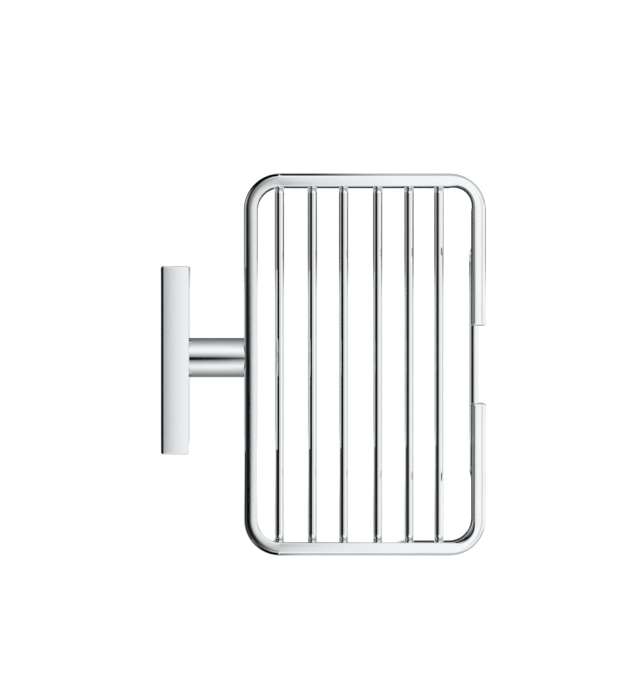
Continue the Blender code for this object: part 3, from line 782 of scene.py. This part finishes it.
def right_share(tree, x, y):
    """Share of the right half's light, from 0 to 1 across the soft middle line.

    The frame's long sides mirror one curve across that line, and the tops of its short sides
    another. A notch holds the share at 0 where the top of the post mirrors it, which draws the
    dark line along the post.
    """
    across = spread(tree, x, -0.04, 0.06)
    long_side = curve_of(tree, across, (
        (0.0, 0.0), (1.0, 1.0), (0.08, 0.0), (0.18, 0.05), (0.24, 0.17), (0.29, 0.31),
        (0.356, 0.50), (0.414, 0.66), (0.476, 0.76), (0.54, 0.85), (0.62, 0.91), (0.70, 0.95),
        (0.773, 0.975)))
    short_side = curve_of(tree, across, (
        (0.0, 0.0), (1.0, 1.0), (0.08, 0.0), (0.18, 0.05), (0.24, 0.17), (0.29, 0.31),
        (0.335, 0.40), (0.362, 0.66), (0.388, 0.73), (0.414, 0.80), (0.439, 0.825), (0.49, 0.84),
        (0.54, 0.87), (0.62, 0.91), (0.70, 0.95), (0.773, 0.975)))
    away = maths(tree, "ABSOLUTE", y)
    part = blend(tree, spread(tree, away, 0.030, 0.055), long_side, short_side)
    off_post = maths(tree, "ABSOLUTE", maths(tree, "ADD", y, 0.05))
    notch = product(tree, spread(tree, off_post, 0.075, 0.045), spread(tree, x, -0.0085, -0.0125))
    return product(tree, part, maths(tree, "SUBTRACT", 1.0, notch))


def by_side(tree, y, half_width, low, high):
    """One value at low Y and another at high Y, crossing over within a half width of Y 0."""
    return blend(tree, spread(tree, y, -half_width, half_width), low, high)


def tent_material():
    """Light of the tent, by direction: two halves, and far sideways a light of its own.

    That last light is what the outer edges of the frame's short sides mirror. It goes from
    dark to bright away from the wall, sooner at low Y than at high Y.
    """
    material, tree, place = light_only("light_tent")
    unit = add_node(tree, "ShaderNodeVectorMath", i0=place)
    unit.operation = "NORMALIZE"
    x, y, z = by_axis(tree, unit.outputs[0])
    height = spread(tree, z, -1.0, 1.0)
    sideways = maths(tree, "ABSOLUTE", maths(tree, "ADD", y, SIDEWAYS_SHIFT))
    halves = blend(tree, right_share(tree, x, y), left_light(tree, x, sideways, height),
                   right_light(tree, x, sideways, height))
    edge = by_side(tree, y, 0.5, spread(tree, x, -0.008, 0.003, 0.015, 0.60),
                   spread(tree, x, 0.010, 0.031, 0.03, 0.58))
    at_edge = product(tree, spread(tree, maths(tree, "ABSOLUTE", y), 0.82, 0.88),
                      spread(tree, x, -0.012, -0.0095))
    give_light(tree, blend(tree, at_edge, product(tree, halves, TENT_GAIN), edge))
    return material


def floor_material(stage):
    """Pale floor that keeps a shadow, brightened where the camera and mirror rays see it."""
    material = bpy.data.materials.new("pale_floor")
    material.use_nodes = True
    tree = material.node_tree
    shader = tree.nodes["Principled BSDF"]
    shader.inputs["Base Color"].default_value = (*stage.floor_colour, 1.0)
    shader.inputs["Roughness"].default_value = 0.8
    shader.inputs["Specular IOR Level"].default_value = 0.0
    rays = tree.nodes.new("ShaderNodeLightPath").outputs
    seen = maths(tree, "MAXIMUM", rays["Is Camera Ray"], rays["Is Glossy Ray"])
    seen = maths(tree, "MAXIMUM", seen, rays["Is Transmission Ray"])
    shader.inputs["Emission Color"].default_value = WHITE
    glow = product(tree, seen, stage.floor_glow)
    tree.links.new(glow, shader.inputs["Emission Strength"])
    return material


def reflection_sheet_material(stage):
    """Painted reflections below the object, by place: a middle, and two darker ends along the wall.

    The middle brightens away from the wall, up to a dark strip that begins near the front side,
    and has a pale strip below the side of low Y. The ends are darkest where they begin and
    behind the wall plane. Outside the short sides and away from the wall, they have a light of
    their own, which goes from dark to bright, sooner at low Y than at high Y.
    """
    material, tree, place = light_only("painted_reflection_sheet")
    x, y = by_axis(tree, place)[:2]
    half = stage.flag_size
    across = spread(tree, x, stage.camera_x - half, stage.camera_x + half)
    middle = curve_of(tree, across, (
        (0.0, 0.52), (1.0, 0.95), (0.13, 0.60), (0.36, 0.67), (0.46, 0.80), (0.525, 0.85),
        (0.531, 0.05), (0.571, 0.05), (0.61, 0.90)))
    pale = product(tree, spread(tree, y, -0.075, -0.070), spread(tree, y, -0.040, -0.045),
                   spread(tree, x, 0.110, 0.105))
    middle = blend(tree, pale, middle, 1.10)
    along = spread(tree, y, stage.camera_y - half, stage.camera_y + half)
    ends = curve_of(tree, along, (
        (0.0, 0.32), (1.0, 0.32), (0.34, 0.18), (0.50, 0.04), (0.56, 0.05), (0.66, 0.18)))
    ends = blend(tree, spread(tree, x, -0.02, -0.035), ends, 0.03)
    at_ends = curve_of(tree, along, (
        (0.0, 1.0), (1.0, 1.0), (0.34, 1.0), (0.43, 0.0), (0.521, 0.0), (0.532, 1.0)))
    beside = by_side(tree, y, 0.01, spread(tree, x, 0.043, 0.057, 0.015, 0.60),
                     spread(tree, x, 0.066, 0.094, 0.03, 0.58))
    at_side = product(tree, spread(tree, x, 0.029, 0.031),
                      spread(tree, maths(tree, "ABSOLUTE", y), 0.085, 0.10))
    ends = blend(tree, at_side, ends, beside)
    # The metal mirrors this light as painted reflections: dark lines and a pale highlight.
    give_light(tree, blend(tree, at_ends, middle, ends))
    return material


def dark_reflection_material():
    """Light of a card, almost black, that the metal shows as a painted dark reflection.

    Its level is the same everywhere, but looked up by place. With a fixed level instead, the
    bracket in front of the card comes out a little brighter in the render.
    """
    material, tree, place = light_only("painted_black_reflection")
    # Painted dark reflection: one near-black level.
    give_light(tree, spread(tree, by_axis(tree, place)[0], -1.0, 1.0, DARK_REFLECTION_LEVEL, DARK_REFLECTION_LEVEL))
    return material


def level_square(stage, half, drop):
    """Grid of points of a level square, centred below the camera."""
    line = np.linspace(-half, half, 3)
    x, y = np.meshgrid(line + stage.camera_x, line + stage.camera_y, indexing="ij")
    return np.stack([x, y, np.full_like(x, -drop)], axis=-1)


def rectangle(corner, first, second):
    """The four corners of a rectangle, from one of them and the two sides that leave it."""
    corner, first, second = np.array(corner), np.array(first), np.array(second)
    return np.array([[corner, corner + second], [corner + first, corner + first + second]])


def stage_surface(name, points, material):
    """Open surface through a grid of points, marked as stage and not part of the object."""
    rows, columns = points.shape[:2]
    index = np.arange(rows * columns).reshape(rows, columns)
    quads = np.stack([index[:-1, :-1], index[1:, :-1], index[1:, 1:], index[:-1, 1:]], axis=-1)
    item = add_mesh(name, points.reshape(-1, 3).tolist(), quads.reshape(-1, 4).tolist())
    item.data.materials.append(material)
    return item


class BASKET_OT_stage(bpy.types.Operator):
    """Set up the pale floor, the light tent, the white background and the camera"""

    bl_idname = "basket.stage"
    bl_label = "Studio and camera"

    def execute(self, context):
        stage = context.scene.basket_stage
        self.build_floor(stage)
        self.build_reflection_sheets(stage)
        self.build_tent(stage)
        self.build_world(context)
        self.build_camera(context, stage)
        context.scene.view_settings.view_transform = "Standard"
        return {"FINISHED"}

    def build_floor(self, stage):
        """A pale floor."""
        points = level_square(stage, stage.floor_size, stage.floor_drop)
        stage_surface("floor", points, floor_material(stage))

    def build_reflection_sheets(self, stage):
        """Sheets for painted reflections: one below the object and a dark card behind the wall plane.
        """
        below = level_square(stage, stage.flag_size, stage.flag_drop)
        self.add_reflection_sheet("painted_reflection_sheet", below, reflection_sheet_material(stage))
        self.add_reflection_sheet("painted_reflection_card", rectangle(*DARK_REFLECTION_CARD), dark_reflection_material())

    def add_reflection_sheet(self, name, points, material):
        """Stage surface that only mirror rays meet, shown only as a painted reflection in the metal.
        """
        flag = stage_surface(name, points, material)
        for ray in ("camera", "diffuse", "shadow", "transmission", "volume_scatter"):
            setattr(flag, f"visible_{ray}", False)

    def build_tent(self, stage):
        """A sphere round the object, by its angle from straight up and its turn."""
        down = np.linspace(POLE_GAP, np.pi - POLE_GAP, TENT_RINGS)
        turn = np.linspace(0.0, 2 * np.pi, TENT_SIDES)
        down, turn = np.meshgrid(down, turn, indexing="ij")
        points = stage.tent_radius * np.stack(
            [np.sin(down) * np.cos(turn), np.sin(down) * np.sin(turn), np.cos(down)], axis=-1)
        tent = stage_surface("light_tent", points, tent_material())
        tent.visible_camera = False

    def build_world(self, context):
        """White all round, behind the floor."""
        world = bpy.data.worlds.new("studio")
        world.use_nodes = True
        shader = world.node_tree.nodes["Background"]
        shader.inputs["Color"].default_value = WHITE
        shader.inputs["Strength"].default_value = 1.0
        context.scene.world = world

    def build_camera(self, context, stage):
        """Camera straight above the basket, with the wall side at its left."""
        data = bpy.data.cameras.new("camera")
        data.lens = stage.lens
        data.sensor_width = SENSOR_WIDTH
        camera = bpy.data.objects.new("camera", data)
        camera.location = (stage.camera_x, stage.camera_y, stage.camera_height)
        context.scene.collection.objects.link(camera)
        context.scene.camera = camera


class BASKET_PT_panel(bpy.types.Panel):
    """Sidebar panel that lists the basket's pieces"""

    bl_idname = "BASKET_PT_panel"
    bl_label = "Soap basket"
    bl_space_type = "VIEW_3D"
    bl_region_type = "UI"
    bl_category = "Soap Basket"

    def draw(self, context):
        layout = self.layout
        for operator in OPERATORS:
            layout.operator(operator.bl_idname)
        for settings in ("basket_sizes", "basket_finish", "basket_stage"):
            group = getattr(context.scene, settings)
            box = layout.box()
            for name in group.__annotations__:
                box.prop(group, name)


OPERATORS = (BASKET_OT_frame, BASKET_OT_rods, BASKET_OT_post, BASKET_OT_cover, BASKET_OT_hardware,
             BASKET_OT_stage)
SETTINGS = (("basket_sizes", BasketSizes), ("basket_finish", BasketFinish),
            ("basket_stage", BasketStage))


def register():
    """Register the settings, operators and panel."""
    for name, group in SETTINGS:
        bpy.utils.register_class(group)
        setattr(bpy.types.Scene, name, bpy.props.PointerProperty(type=group))
    for item in (*OPERATORS, BASKET_PT_panel):
        bpy.utils.register_class(item)


def unregister():
    """Take everything that register added away again."""
    for item in (BASKET_PT_panel, *reversed(OPERATORS)):
        bpy.utils.unregister_class(item)
    for name, group in reversed(SETTINGS):
        delattr(bpy.types.Scene, name)
        bpy.utils.unregister_class(group)


def clear_opening_objects():
    """Remove the light, camera and cube that a new file may open with."""
    for item in list(bpy.data.objects):
        if item.name in ("Cube", "Light", "Camera"):
            bpy.data.objects.remove(item, do_unlink=True)


def main():
    """Build every piece and the stage."""
    register()
    clear_opening_objects()
    bpy.ops.basket.frame()
    bpy.ops.basket.rods()
    bpy.ops.basket.post()
    bpy.ops.basket.cover()
    bpy.ops.basket.hardware()
    bpy.ops.basket.stage()
    bpy.context.view_layer.update()


if __name__ == "__main__":
    main()
